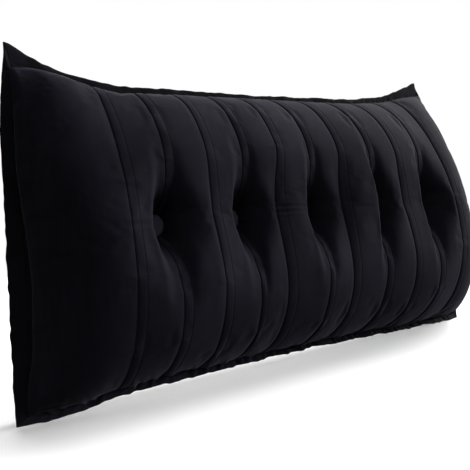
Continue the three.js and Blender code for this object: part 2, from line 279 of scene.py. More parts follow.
def blur2(a, su, sv):
    out = a
    for axis, s in ((0, su), (1, sv)):
        n = max(1, int(3 * s))
        k = np.exp(-0.5 * (np.arange(-n, n + 1) / s) ** 2)
        k /= k.sum()
        pad = [(0, 0)] * out.ndim
        pad[axis] = (n, n)
        b = np.pad(out, pad, mode="edge")
        out = sum(k[i] * np.take(b, np.arange(i, i + out.shape[axis]), axis) for i in range(2 * n + 1))
    return out


def bicubic(values, fu, fv):
    """Values on an even grid, read at fractional places with smooth interpolation."""
    n, m = values.shape[:2]
    i, j = np.floor(fu).astype(int), np.floor(fv).astype(int)
    a, b = fu - i, fv - j

    def weights(t):
        return (-0.5 * t + t * t - 0.5 * t ** 3, 1 - 2.5 * t * t + 1.5 * t ** 3,
                0.5 * t + 2 * t * t - 1.5 * t ** 3, -0.5 * t * t + 0.5 * t ** 3)

    wa, wb = weights(a), weights(b)
    out = 0
    for di in range(4):
        ii = np.clip(i + di - 1, 0, n - 1)
        for dj in range(4):
            jj = np.clip(j + dj - 1, 0, m - 1)
            out = out + (wa[di] * wb[dj])[..., None] * values[ii, jj]
    return out


# ------------------------------------------------------------------ materials
def material(name):
    m = bpy.data.materials.new(name)
    m.use_nodes = True
    t = m.node_tree
    b = t.nodes["Principled BSDF"]
    return m, t, b


def link(t, a, b):
    t.links.new(a, b)


def noise(t, coords, scale, detail=2.0, rough=0.5, distortion=0.0):
    n = t.nodes.new("ShaderNodeTexNoise")
    n.inputs["Scale"].default_value = scale
    n.inputs["Detail"].default_value = detail
    n.inputs["Roughness"].default_value = rough
    n.inputs["Distortion"].default_value = distortion
    link(t, coords, n.inputs["Vector"])
    return n.outputs["Fac"]


def mapped(t, coords, scale):
    n = t.nodes.new("ShaderNodeMapping")
    n.inputs["Scale"].default_value = scale
    link(t, coords, n.inputs["Vector"])
    return n.outputs["Vector"]


def ramp(t, fac, stops):
    n = t.nodes.new("ShaderNodeValToRGB")
    el = n.color_ramp.elements
    while len(el) < len(stops):
        el.new(0.5)
    for e, (pos, col) in zip(el, stops):
        e.position = pos
        e.color = (*col, 1)
    link(t, fac, n.inputs["Fac"])
    return n.outputs["Color"]


def bump(t, b, height, strength, distance, before=None):
    n = t.nodes.new("ShaderNodeBump")
    n.inputs["Strength"].default_value = strength
    n.inputs["Distance"].default_value = distance
    link(t, height, n.inputs["Height"])
    if before is not None:
        link(t, before, n.inputs["Normal"])
    link(t, n.outputs["Normal"], b.inputs["Normal"])
    return n.outputs["Normal"]


def mathnode(t, op, a, b=None, clamp=False):
    n = t.nodes.new("ShaderNodeMath")
    n.operation = op
    n.use_clamp = clamp
    for k, v in enumerate((a, b)):
        if v is None:
            continue
        if isinstance(v, (int, float)):
            n.inputs[k].default_value = v
        else:
            link(t, v, n.inputs[k])
    return n.outputs[0]


def velvet(name, base=(0.0052, 0.0048, 0.0074), sheen=0.035, rough=0.86, pile=1.0):
    m, t, b = material(name)
    c = t.nodes.new("ShaderNodeTexCoord").outputs["Object"]
    # the pile lies in different directions in patches, as when a hand has brushed it
    brushed = noise(t, mapped(t, c, (9, 9, 5)), 1.0, 3.0, 0.55, 0.6)
    streaks = noise(t, mapped(t, c, (110, 110, 24)), 1.0, 2.0, 0.6)
    grain = noise(t, c, 2600, 2.0, 0.6)
    mix = mathnode(t, "ADD", mathnode(t, "MULTIPLY", brushed, 0.62), mathnode(t, "MULTIPLY", streaks, 0.23))
    mix = mathnode(t, "ADD", mix, mathnode(t, "MULTIPLY", grain, 0.15))
    k = [tuple(x * f for x in base) for f in (0.55, 1.0, 1.5)]
    link(t, ramp(t, mix, [(0.3, k[0]), (0.5, k[1]), (0.72, k[2])]), b.inputs["Base Color"])
    r = ramp(t, mix, [(0.3, (rough + 0.08,) * 3), (0.7, (rough - 0.1,) * 3)])
    link(t, r, b.inputs["Roughness"])
    b.inputs["Specular IOR Level"].default_value = 0.03
    b.inputs["Sheen Weight"].default_value = sheen
    b.inputs["Sheen Roughness"].default_value = 0.38
    b.inputs["Sheen Tint"].default_value = (0.80, 0.77, 1.0, 1)
    one = bump(t, b, grain, 0.35 * pile, 0.0003)
    soft = noise(t, mapped(t, c, (60, 60, 42)), 1.0, 3.0, 0.55)
    bump(t, b, soft, 0.16 * pile, 0.0012, one)
    return m


def woven(name, base, scale=1400.0, rough=0.9):
    m, t, b = material(name)
    c = t.nodes.new("ShaderNodeTexCoord").outputs["Object"]
    wx = t.nodes.new("ShaderNodeTexWave")
    wx.bands_direction = "X"
    wz = t.nodes.new("ShaderNodeTexWave")
    wz.bands_direction = "Z"
    for w in (wx, wz):
        w.inputs["Scale"].default_value = scale / 6.283
        w.inputs["Distortion"].default_value = 0.6
        w.inputs["Detail"].default_value = 1.0
        link(t, c, w.inputs["Vector"])
    weave = mathnode(t, "MAXIMUM", wx.outputs["Fac"], wz.outputs["Fac"])
    patch = noise(t, c, 40, 2.0)
    mix = mathnode(t, "ADD", mathnode(t, "MULTIPLY", weave, 0.7), mathnode(t, "MULTIPLY", patch, 0.3))
    link(t, ramp(t, mix, [(0.2, tuple(x * 0.5 for x in base)), (0.9, tuple(x * 1.3 for x in base))]), b.inputs["Base Color"])
    link(t, ramp(t, mix, [(0.2, (rough,) * 3), (0.9, (rough - 0.12,) * 3)]), b.inputs["Roughness"])
    bump(t, b, weave, 0.5, 0.0002)
    return m


def fibres(name, base, scale=300.0, depth=0.6, rough=0.95, gloss=0.3):
    m, t, b = material(name)
    c = t.nodes.new("ShaderNodeTexCoord").outputs["Object"]
    a = noise(t, c, scale, 4.0, 0.65, 1.2)
    v = t.nodes.new("ShaderNodeTexVoronoi")
    v.inputs["Scale"].default_value = scale * 1.6
    link(t, c, v.inputs["Vector"])
    mix = mathnode(t, "ADD", mathnode(t, "MULTIPLY", a, 0.7), mathnode(t, "MULTIPLY", v.outputs["Distance"], 0.4))
    link(t, ramp(t, mix, [(0.25, tuple(x * 0.7 for x in base)), (0.75, base)]), b.inputs["Base Color"])
    link(t, ramp(t, mix, [(0.2, (rough,) * 3), (0.8, (rough - 0.15,) * 3)]), b.inputs["Roughness"])
    b.inputs["Specular IOR Level"].default_value = gloss
    bump(t, b, mix, depth, 0.001)
    return m


def hard(name, base, rough, metallic=0.0, scratch=0.35):
    m, t, b = material(name)
    c = t.nodes.new("ShaderNodeTexCoord").outputs["Object"]
    wear = noise(t, c, 420, 4.0, 0.6)
    fine = noise(t, mapped(t, c, (5200, 900, 900)), 1.0, 2.0)
    mix = mathnode(t, "ADD", mathnode(t, "MULTIPLY", wear, 0.6), mathnode(t, "MULTIPLY", fine, 0.4))
    link(t, ramp(t, mix, [(0.35, tuple(x * 0.75 for x in base)), (0.7, tuple(min(1, x * 1.5) for x in base))]), b.inputs["Base Color"])
    link(t, ramp(t, mix, [(0.3, (rough + 0.12,) * 3), (0.7, (max(0.05, rough - 0.1),) * 3)]), b.inputs["Roughness"])
    b.inputs["Metallic"].default_value = metallic
    bump(t, b, fine, scratch * 0.3, 0.00005)
    return m


M_COVER = velvet("velvet_cover")
# the flange is the cover's own velvet, its colour at half brightness as painted shade, with its sheen turned down
M_FLANGE_SHADE_PAINTED = velvet("velvet_flange", base=(0.0026, 0.0024, 0.0035), sheen=0.004)
# the buttons are covered in the cover's velvet; their colour is made several times brighter as painted light, for light
# that does not reach the hollows
M_BUTTON_LIGHT_PAINTED = velvet("velvet_button", base=(0.032, 0.0298, 0.041), sheen=0.05)
M_BACK = velvet("velvet_back", base=(0.0046, 0.0043, 0.0062), sheen=0.03, pile=0.8)
M_THREAD = fibres("thread", (0.0044, 0.0041, 0.0058), 2400, 0.4, 0.8, 0.03)
M_WADDING = fibres("wadding", (0.80, 0.79, 0.76), 260, 0.8)
M_FOAM = fibres("foam", (0.74, 0.66, 0.42), 620, 0.7)
M_TWINE = fibres("twine", (0.03, 0.03, 0.034), 1800, 0.5, 0.6, 0.2)
M_TAPE = woven("zip_tape", (0.014, 0.014, 0.016), 2600)
M_NYLON = hard("nylon", (0.016, 0.016, 0.018), 0.42)
M_METAL = hard("black_metal", (0.05, 0.05, 0.053), 0.32, 0.85)
M_DISC = hard("back_button", (0.014, 0.014, 0.015), 0.55)


# ------------------------------------------------------------------ cloth: how the fabric of the front gathers
NU_GORE, NU_END, NV = 9, 15, 101
u_coarse = np.concatenate([
    np.linspace(-HALF, -5 * PITCH, NU_END + 1)[:-1],
    np.linspace(-5 * PITCH, 5 * PITCH, NU_GORE * 10 + 1),
    np.linspace(5 * PITCH, HALF, NU_END + 1)[1:],
])
v_coarse = np.linspace(0, 1, NV)


def simulate():
    """Drapes spare fabric over the cushion's shape and returns how it wrinkles, as a grid of offsets in millimetres."""
    U, V = np.meshgrid(u_coarse, v_coarse, indexing="ij")
    x, h, z, w, share = front(U, V, 3.0)
    p = points(x, h, z)
    n, m = U.shape
    o = mesh_object("drape", p, grid_faces(n, m), None)
    pin = o.vertex_groups.new(name="pin")
    loose = o.vertex_groups.new(name="loose")
    along = V * ARC
    for i in range(n):
        seam = min(abs(u_coarse[i] - s) for s in SEAMS) < 0.5
        for j in range(m):
            near = min(math.hypot(u_coarse[i] - b, z[i, j] - BUTTON_Z) for b in BUTTONS)
            edge = i in (0, n - 1) or j in (0, m - 1)
            weight = 1.0 if edge or near < 16 else 0.30 if seam else 0.04
            pin.add([i * m + j], weight, "REPLACE")
            d = min(along[i, j], ARC - along[i, j] + 25, (HALF - abs(u_coarse[i])) * 1.3)
            loose.add([i * m + j], max(math.exp(-d / 45), 0.75 * math.exp(-near / 55)), "REPLACE")
    cloth = o.modifiers.new("Cloth", "CLOTH")
    s = cloth.settings
    s.quality = 7
    s.mass = 0.25
    s.tension_stiffness = s.compression_stiffness = 22
    s.shear_stiffness = 9
    s.bending_stiffness = 0.12
    s.tension_damping = s.compression_damping = 8
    s.air_damping = 2
    s.vertex_group_mass = "pin"
    s.pin_stiffness = 1.4
    s.shrink_min = -0.022
    s.vertex_group_shrink = "loose"
    s.shrink_max = -0.085
    s.use_pressure = True
    s.uniform_pressure_force = 4.0
    s.effector_weights.gravity = 0
    cloth.collision_settings.use_collision = False
    cloth.point_cache.frame_start = 1
    cloth.point_cache.frame_end = 26
    for f in range(1, 25):
        scene.frame_set(f)
    dg = bpy.context.evaluated_depsgraph_get()
    e = o.evaluated_get(dg)
    co = np.zeros(n * m * 3)
    e.data.vertices.foreach_get("co", co)
    moved = co.reshape(n, m, 3) * 1000 - p
    bpy.data.objects.remove(o)
    scene.frame_set(1)
    if not np.isfinite(moved).all():
        return np.zeros_like(moved)
    wrinkle = moved - blur2(moved, 5.0, 5.0)  # the overall shape stays as measured; only the wrinkles are kept
    size = np.linalg.norm(wrinkle, axis=-1, keepdims=True) + 1e-9
    cap, taut = 7.0, 0.38  # the filling holds the fabric taut, so only part of each wrinkle shows
    wrinkle *= taut * cap * np.tanh(size / cap) / size
    print("drape: moved", round(float(np.abs(moved).max()), 1), "mm, wrinkles", round(float(size.max()), 1), "mm, mean", round(float(size.mean()), 2))
    return wrinkle


drape = simulate()


def drape_at(U, V):
    fu = np.interp(U, u_coarse, np.arange(len(u_coarse), dtype=float))
    return bicubic(drape, np.clip(fu, 0, len(u_coarse) - 1.000001), np.clip(V, 0, 1) * (NV - 1.000001))


# ------------------------------------------------------------------ front cover
def columns_of(a, b, stitch_from):
    """Columns between two seams, close together at the seams and beside the topstitching."""
    near = [0, 0.5, 1.1, 1.8, 2.7, 4.0, 5.6, 7.6]
    out = [a + d for d in near] + [b - d for d in near]
    if stitch_from is not None:
        out += [stitch_from + d for d in (-2.6, -1.7, -1.1, -0.6, 0, 0.6, 1.1, 1.7, 2.6)]
    x = a + 9.6
    while x < b - 8.5:
        if stitch_from is None or abs(x - stitch_from) > 3.2:
            out.append(x)
        x += 2.3
    out = sorted(set(round(v, 3) for v in out))
    return np.array([v for k, v in enumerate(out) if k == 0 or v - out[k - 1] > 0.35])


ROWS = 331
v_fine = np.linspace(0, 1, ROWS)
bounds_u = [-HALF] + SEAMS + [HALF]
names = ["end_panel_left"] + ["front_gore_%02d" % k for k in range(1, 11)] + ["end_panel_right"]


def cover_grid(us, seam_left, seam_right, stitch_at):
    # one column more on each sewn side, so that neighbours agree on the way the fabric faces
    before, after = int(us[0] > 1 - HALF), int(us[-1] < HALF - 1)
    wide = np.concatenate([[us[0] - 0.7]] * before + [us] + [[us[-1] + 0.7]] * after)
    U, V = np.meshgrid(wide, v_fine, indexing="ij")
    x, h, z, w, share = front(U, V)
    p = points(x, h, z)
    p = p + drape_at(U, V)
    n = normals(p)
    U, V, x, z, share, p, n = (a[before:len(wide) - after] for a in (U, V, x, z, share, p, n))
    s_bottom, s_top = V * ARC, (1 - V) * ARC
    gap_left, gap_right = (U + HALF) * 1.15, (HALF - U) * 1.15
    d = np.zeros_like(U)
    # gathers where the cover is sewn to the flange
    ends = smooth(0.0, 60.0, np.minimum(gap_left, gap_right))
    d += (4.2 * bottom_gather(U + 0.35 * s_bottom) + 2.0 * long_gather(U)) * np.exp(-((s_bottom / 26.0) ** 1.3)) * smooth(0, 2.5, s_bottom) * (0.35 + 0.65 * ends)
    d += (0.9 * top_gather(U) + 0.5 * long_gather(U + 200)) * np.exp(-s_top / 12.0) * smooth(0, 2.5, s_top)
    d += (1.5 * left_gather(z) + 0.8 * long_gather(z)) * np.exp(-gap_left / 14.0) * smooth(0, 2.5, gap_left)
    d += 1.4 * right_gather(z) * np.exp(-gap_right / 14.0) * smooth(0, 2.5, gap_right)
    # small pleats that run into each button
    for k, b in enumerate(BUTTONS):
        dx, dz = x - b, z - BUTTON_Z
        r = np.hypot(dx, dz * 0.8)
        a = np.arctan2(dz, dx)
        pleat = np.cos(9 * a + k) + 0.6 * np.cos(14 * a + 2.1 * k)
        d += 0.9 * pleat * np.exp(-np.maximum(0, r - 15) / 9.0) * smooth(10, 17, r) * smooth(0.25, 0.6, share)
    # pull lines on the left of the middle button
    pull = np.exp(-(((z - 251) / 9.5) ** 2)) * smooth(-78, -60, U) * (1 - smooth(-26, -12, U))
    d += 1.05 * pull * np.cos((z - 251) * 0.72 + 0.05 * (U + 40)) * (0.7 + 0.3 * np.cos(0.11 * U))
    # seams: a turned-in crease, and the topstitching's shallower one
    if seam_left is not None:
        d -= 0.8 * np.exp(-(((U - seam_left) / 0.9) ** 2)) + 0.35 * np.exp(-(((U - seam_left) / 3.5) ** 2))
    if seam_right is not None:
        d -= 0.8 * np.exp(-(((U - seam_right) / 0.9) ** 2)) + 0.35 * np.exp(-(((U - seam_right) / 3.5) ** 2))
    ripple = 0.75 + 0.25 * np.sin(s_bottom * 2 * np.pi / 3.8)
    if stitch_at is not None:
        d -= 0.38 * ripple * np.exp(-(((U - stitch_at) / 0.9) ** 2)) * smooth(0, 10, s_bottom) * smooth(0, 10, s_top)
        # the layers under the strip between seam and stitching stand a little proud
        d += 0.25 * smooth(stitch_at - STITCH_AT, stitch_at - STITCH_AT + 2.5, U) * (1 - smooth(stitch_at - 2, stitch_at, U))
    # hems against the flange
    d -= 2.0 * np.exp(-((s_bottom / 1.6) ** 2)) + 2.0 * np.exp(-((s_top / 1.6) ** 2))
    p = p + n * d[..., None]
    # rest on the floor, never through it
    p[..., 2] = np.maximum(p[..., 2], 1.5)
    uv = np.stack([U / 1000, V * ARC / 1000], -1)
    return p, uv


front_pieces = []
stitch_lines = []
for k, name in enumerate(names):
    a, b = bounds_u[k], bounds_u[k + 1]
    seam_left = a if k > 0 else None
    seam_right = b if k < 11 else None
    stitch_at = a + STITCH_AT if k > 0 else None
    if k in (0, 11):
        inner = 5 * PITCH
        t = np.linspace(0, 1, 58)
        us = inner + (HALF - inner) * (1 - (1 - t) ** 1.45)
        us = np.unique(np.concatenate([us, [inner + d for d in (0.5, 1.1, 1.8, 2.7, 4.0)]]))
        if k == 0:
            us = -us[::-1]
        else:
            us = np.unique(np.concatenate([us, [a + STITCH_AT + d for d in (-2.6, -1.1, -0.6, 0, 0.6, 1.1, 2.6)]]))
        us = us[np.concatenate([[True], np.diff(us) > 0.25])]
    else:
        us = columns_of(a, b, stitch_at)
    us = us.astype(float)
    us[0] += 0.02 if k > 0 else 0
    us[-1] -= 0.02 if k < 11 else 0
    p, uv = cover_grid(us, seam_left, seam_right, stitch_at)
    n = normals(p)
    verts, faces, rim = skirted(p, 5.0, n)
    uvs = np.concatenate([uv.reshape(-1, 2), uv.reshape(-1, 2)[rim]])
    o = mesh_object(name + "_velvet", verts, faces, M_COVER, uvs)
    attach(o, "cushion")
    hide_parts(name)
    front_pieces.append(o)
    if stitch_at is not None:
        near = np.argsort(np.abs(us - stitch_at))[0]
        stitch_lines.append((p[near], n[near]))


# ------------------------------------------------------------------ topstitching: real stitches of thread
def stitches(name, lines, pitch=3.8, length=2.7, radius=0.34, lift=0.12):
    verts, faces = [], []
    rings, sides = 5, 6
    for pts, nor in lines:
        seg = np.linalg.norm(np.diff(pts, axis=0), axis=1)
        s = np.concatenate([[0], np.cumsum(seg)])
        at = np.arange(8, s[-1] - 8, pitch)
        for c in at:
            t = np.linspace(-0.5, 0.5, rings)
            where = c + t * length
            q = np.stack([np.interp(where, s, pts[:, a]) for a in range(3)], -1)
            nn = np.stack([np.interp(where, s, nor[:, a]) for a in range(3)], -1)
            nn /= np.linalg.norm(nn, axis=1, keepdims=True)
            tang = q[-1] - q[0]
            tang /= np.linalg.norm(tang) + 1e-9
            side = np.cross(tang, nn)
            side /= np.linalg.norm(side, axis=1, keepdims=True)
            rise = lift + 0.34 * (1 - (2 * t) ** 2)
            rad = radius * np.sqrt(np.clip(1 - (2 * t * 0.93) ** 4, 0.05, 1))
            base = len(verts) * 0 + sum(len(v) for v in verts)
            a = np.arange(sides) * 2 * np.pi / sides
            ring = (q + nn * rise[:, None])[:, None, :] + rad[:, None, None] * (
                np.cos(a)[None, :, None] * side[:, None, :] + np.sin(a)[None, :, None] * nn[:, None, :])
            verts.append(ring.reshape(-1, 3))
            for r in range(rings - 1):
                for c2 in range(sides):
                    d2 = (c2 + 1) % sides
                    faces.append((base + r * sides + c2, base + r * sides + d2, base + (r + 1) * sides + d2, base + (r + 1) * sides + c2))
            faces.append(tuple(base + c2 for c2 in reversed(range(sides))))
            faces.append(tuple(base + (rings - 1) * sides + c2 for c2 in range(sides)))
    return np.concatenate(verts), faces


def fast_stitches(name, lines, mat, slot_name, body="cushion", **kw):
    total_v, total_f, count = [], [], 0
    for line in lines:
        v, f = stitches(name, [line], **kw)
        total_f += [tuple(i + count for i in face) for face in f]
        total_v.append(v)
        count += len(v)
    o = mesh_object(name, np.concatenate(total_v), total_f, mat)
    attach(o, body)
    return o


fast_stitches("topstitching", stitch_lines, M_THREAD, "twine")


# ------------------------------------------------------------------ flange: two layers stitched flat, with pointed corners
ROOT = 7.0
HALF_THICK = 2.3
flange_wave, flange_pucker, flange_edge = ripples(31, 11.0), ripples(32, 3.0), ripples(33, 4.5)


def strip(name, inner, outer, count, seed, thick=HALF_THICK, waves=(2.2, 0.9, 0.8), lean=0.0, reach=9.0, mat=None):
    """A flat double strip from an inner line to an outer one, both functions of s from 0 to 1 that give (x, z)."""
    s = np.linspace(0, 1, count)
    a, b = np.array([inner(t) for t in s]), np.array([outer(t) for t in s])
    length = np.concatenate([[0], np.cumsum(np.hypot(*np.diff(b, axis=0).T))]) + seed * 37.0 - 450
    ends = smooth(0, 0.05, s) * smooth(0, 0.05, 1 - s)  # strips meet flat at the corners
    lean = lean * ends
    across = np.concatenate([[0], [0.07, 0.14, 0.2, 0.25, 0.29, 0.33, 0.38, 0.45, 0.54, 0.63, 0.72, 0.8, 0.87, 0.925, 0.965, 0.99, 1.0]])
    width = np.hypot(*(b - a).T)
    n = len(across)
    rows = []
    for side in (1, -1):
        for c in (across if side > 0 else across[::-1][1:-1]):
            d = c * width
            line = a + (b - a) * c
            bulge = thick * np.sqrt(np.clip(1 - ((c - 0.55) / 0.452) ** 4, 0.0, 1)) if c > 0.55 else thick
            groove = 1.25 * np.exp(-(((d - ROOT - 3.4) / 1.0) ** 2)) * (0.8 + 0.2 * np.sin(length * 2 * np.pi / 3.6))
            wave = waves[0] * flange_wave(length) * smooth(0.2, 1, c) * ends
            puck = waves[1] * flange_pucker(length) * np.exp(-(((d - ROOT) / reach) ** 2)) * (1 if side > 0 else 0.7) * ends
            edge = waves[2] * flange_edge(length) * smooth(0.75, 1, c) * ends
            h = side * (bulge - groove) + wave + puck + lean * c
            out = (b - a) / width[:, None]
            line = line + out * edge[:, None]
            rows.append(np.stack([line[:, 0], Y0 - h, np.maximum(line[:, 1], 0.4)], -1))
    g = np.array(rows)  # (round, along, 3)
    k, m = g.shape[:2]
    verts = g.reshape(-1, 3)
    faces = []
    for i in range(k):
        i2 = (i + 1) % k
        for j in range(m - 1):
            faces.append((i * m + j, i2 * m + j, i2 * m + j + 1, i * m + j + 1))
    faces.append(tuple(i * m for i in reversed(range(k))))
    faces.append(tuple(i * m + m - 1 for i in range(k)))
    # unless told otherwise a strip takes the darker copy of the cover velvet: painted shade on the flange
    o = mesh_object(name + "_velvet", verts, faces, mat or M_FLANGE_SHADE_PAINTED, None)
    bpy.context.view_layer.update()
    me = o.data
    # outward faces whichever way the strip runs
    import bmesh
    bm = bmesh.new()
    bm.from_mesh(me)
    bmesh.ops.recalc_face_normals(bm, faces=bm.faces)
    bm.to_mesh(me)
    bm.free()
    me.shade_smooth()
    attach(o, "cushion")
    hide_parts(name)
    # where the stitch line runs, on the front face
    c = (ROOT + 3.4) / np.maximum(width, 12)
    mid = a + (b - a) * c[:, None]
    h = thick - 1.0 + (waves[0] * flange_wave(length) * smooth(0.2, 1, c) + waves[1] * flange_pucker(length) * 0.8) * ends + lean * c
    pts = np.stack([mid[:, 0], Y0 - h, mid[:, 1]], -1)
    keep = (mid[:, 1] > 2)
    return pts[keep], np.tile([0.0, -1.0, 0.0], (int(keep.sum()), 1))


top_edge = curve(
    [-434, -426, -419, -403, -386, -352, -317, -260, -109, -9, 101, 225, 331, 371, 412, 426, 434],
    [ZC + v for v in (281, 279, 275, 264, 255, 241, 232, 224, 222, 221, 222, 223, 234, 248, 261, 269, 270)], 3.0)
bottom_edge = curve(
    [-440, -402, -353, -318, -244, 28, 140, 201, 266, 335, 409, 440],
    [ZC - v for v in (249, 250, 246, 241, 238, 237, 240, 242, 245, 245, 249, 249)], 6.0)
left_edge = curve([ZC + v for v in (-250, -200, 149, 202, 256, 274)], [-444, -445, -444, -441, -435, -433], 8.0)


def right_edge(z):
    return -left_edge(z)


def seam_x(z, s):
    return s * HALF - s * (side_left(z) if s < 0 else side_right(z))


XT, XR = 433.0, 425.0  # the ears' points
flange_lines = []
flange_lines.append(strip(
    "flange_top",
    lambda t: ((2 * t - 1) * (HALF - ROOT), float(top_seam((2 * t - 1) * (HALF - ROOT))) - ROOT),
    lambda t: ((2 * t - 1) * XT if t < 0.5 else (2 * t - 1) * XR, float(top_edge((2 * t - 1) * XT))),
    420, 1, waves=(1.5, 0.9, 0.8), lean=-1.0))
flange_lines.append(strip(
    "flange_bottom",
    lambda t: ((2 * t - 1) * (HALF - ROOT - 1), float(bottom_seam((2 * t - 1) * (HALF - ROOT))) + ROOT),
    lambda t: ((2 * t - 1) * 443.0, float(bottom_edge((2 * t - 1) * 443.0))),
    420, 2, waves=(1.8, 3.0, 1.2), reach=26.0, lean=7.0, mat=M_COVER))
for s, name, edge in ((-1, "flange_left", left_edge), (1, "flange_right", right_edge)):
    zt, zb = float(top_edge(s * XT)), float(bottom_edge(s * 443.0))
    it, ib = float(top_seam(s * (HALF - ROOT))) - ROOT, float(bottom_seam(s * (HALF - ROOT))) + ROOT

    def inner(t, s=s, it=it, ib=ib):
        z = ib + 0.1 + t * (it - ib - 0.2)
        return (seam_x(z, s) - s * ROOT * (1 if 0.02 < t < 0.98 else 1), z)

    def outer(t, s=s, zt=zt, zb=zb, edge=edge):
        z = zb + 0.1 + t * (zt - zb - 0.2)
        x = float(edge(z))
        end = smooth(0.9, 1, t)
        return (x * (1 - end) + s * ((XT if s < 0 else XR) + 0.6) * end, z)

    flange_lines.append(strip(name, inner, outer, 250, 3 if s < 0 else 4, waves=(3.0, 1.2, 0.9)))
fast_stitches("flange_stitching", flange_lines, M_THREAD, "twine", pitch=3.6, length=2.5, radius=0.3, lift=0.0)


# ------------------------------------------------------------------ covered buttons in front
def covered_button(n, x, floor):
    rings, sides = 34, 96
    R, H = 17.0, 10.2
    prof = []
    for k in range(rings):
        t = k / (rings - 1)
        if t < 0.7:
            a = t / 0.7 * math.radians(84)
            prof.append((R * math.sin(a) ** 0.92, 2.6 + (H - 2.6) * max(0.0, math.cos(a)) ** 0.62))
        else:
            a = (t - 0.7) / 0.3
            prof.append((R - 3.4 * a ** 1.8, 2.6 + (H - 2.6) * math.cos(math.radians(84)) ** 0.62 - 3.9 * a))
    verts, faces = [], []
    r0 = np.random.default_rng(50 + n)
    phase = r0.uniform(0, 6.28, 4)
    for k, (r, h) in enumerate(prof):
        for s in range(sides):
            a = s * 2 * math.pi / sides
            pleat = smooth(0.72, 1.0, r / R) * (0.32 * math.cos(13 * a + phase[0]) + 0.22 * math.cos(21 * a + phase[1]))
            soft = 0.25 * math.cos(2 * a + phase[2]) * smooth(0.2, 0.8, r / R)
            rr = r + float(pleat) * (1.0 if k > rings * 0.55 else 0.6)
            hh = h + float(soft) - float(pleat) * 0.5
            verts.append((x + rr * math.cos(a), Y0 - floor - hh, BUTTON_Z + rr * math.sin(a)))
    for k in range(rings - 1):
        for s in range(sides):
            s2 = (s + 1) % sides
            faces.append((k * sides + s, (k + 1) * sides + s, (k + 1) * sides + s2, k * sides + s2))
    faces.append(tuple(range(sides)))
    faces.append(tuple((rings - 1) * sides + s for s in reversed(range(sides))))
    # the button takes the brightened copy of the cover velvet: painted light in the hollow
    o = mesh_object("front_button_%d_velvet" % n, verts, faces, M_BUTTON_LIGHT_PAINTED)
    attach(o, "cushion")
    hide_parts("front_button_%d" % n)
    return o


for n, (x, f) in enumerate(zip(BUTTONS, FLOORS), 1):
    covered_button(n, x, f)


# ------------------------------------------------------------------ back: two soft panels with a zip between them
BACK = 43.0
ZIP_Z, ZIP_HALF = 70.0, 344.0
back_ripple, back_gather = ripples(41, 16.0), ripples(42, 4.0)


def back_depth(x, z, dtop, dbottom, dside):
    d = 1 / (1 / np.maximum(dtop, 1e-3) ** 3 + 1 / np.maximum(dbottom, 1e-3) ** 3 + 1 / np.maximum(dside, 1e-3) ** 3) ** (1 / 3)
    share = np.sqrt(1 - (1 - np.clip(d / 34, 0, 1)) ** 2.4)
    r = np.min([np.hypot(x - b, z - BUTTON_Z) for b in BUTTONS], axis=0)
    swell = 2.4 * (1 - np.exp(-((r / 30) ** 2)))
    zipline = 1.6 * np.exp(-(((z - ZIP_Z) / 16) ** 2))
    wrinkle = 0.7 * back_ripple(x * 0.7 + z * 0.5) * np.exp(-r / 60) + 0.9 * back_gather(x) * np.exp(-np.minimum(dtop, dbottom) / 14)
    wrinkle = wrinkle + 0.8 * back_gather(z + 300) * np.exp(-dside / 14)
    return 0.6 + (BACK - 0.6 + swell - zipline) * share - np.abs(wrinkle) * smooth(0, 6, d)


def back_grid(name, upper):
    nu, nv = 330, 150 if upper else 60
    xs = np.linspace(-1, 1, nu)
    xs = np.sign(xs) * (1 - (1 - np.abs(xs)) ** 1.7) * 429.5
    xs = np.unique(np.concatenate([xs, [s * (ZIP_HALF + d) for s in (-1, 1) for d in (-3, -1, 0, 1, 3)]]))
    t = np.linspace(0, 1, nv)
    X, T = np.meshgrid(xs, t, indexing="ij")
    slot = 0.02 + 5.98 * (1 - smooth(ZIP_HALF - 4, ZIP_HALF + 5, np.abs(X)))
    if upper:
        e = 1 - (1 - T) ** 1.35
        Z = (ZIP_Z + slot) + (top_seam(X) - ZIP_Z - slot) * e
    else:
        e = 1 - (1 - T) ** 1.35
        Z = (ZIP_Z - slot) + (bottom_seam(X) - ZIP_Z + slot) * e
    side = np.where(X < 0, side_left(Z), side_right(Z))
    q = np.abs(X) / HALF
    x = X - np.sign(X) * side * q ** 6
    dtop, dbottom = top_seam(X) - Z, Z - bottom_seam(X)
    h = back_depth(X, Z, np.maximum(dtop, 0), np.maximum(dbottom, 0), 429.5 - np.abs(X))
    # folded edge along the zip
    gap = np.abs(Z - ZIP_Z) - slot
    fold = 1.6 * np.exp(-((gap / 1.3) ** 2))
    stitch = 0.55 * np.exp(-(((gap - 6.0) / 0.8) ** 2)) * (1 - smooth(ZIP_HALF, ZIP_HALF + 12, np.abs(X)))
    h = h - fold - stitch
    p = np.stack([x, Y0 + h, np.maximum(Z, 1.0)], -1)
    # a hem that turns in to the zip tape
    lip = p[:, :1].copy()
    lip[..., 1] = np.where(np.abs(X[:, :1]) < ZIP_HALF, np.minimum(lip[..., 1], Y0 + 36.4), np.maximum(lip[..., 1] - 6.0, np.minimum(lip[..., 1], Y0)))
    lip[..., 2] += (1.2 if upper else -1.2) * 0.2
    mid = (p[:, :1] + lip) / 2
    p = np.concatenate([lip, mid, p], axis=1)
    n, m = p.shape[:2]
    o = mesh_object(name + "_cloth", p, grid_faces(n, m, flip=not upper), M_BACK)
    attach(o, "cushion")
    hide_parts(name)
    # stitch line beside the zip
    keep = np.abs(xs) < ZIP_HALF - 2
    Zs = ZIP_Z + (12.0 if upper else -12.0)
    xs2 = xs[keep]
    j = np.argmin(np.abs(p[len(xs) // 2, :, 2] - Zs))
    pts = p[keep][:, j]
    return pts, np.tile([0.0, 1.0, 0.0], (len(pts), 1))


zip_lines = [back_grid("back_panel_upper", True), back_grid("back_panel_lower", False)]
fast_stitches("zip_stitching", zip_lines, M_THREAD, "twine", pitch=3.4, length=2.4, radius=0.3, lift=0.05)


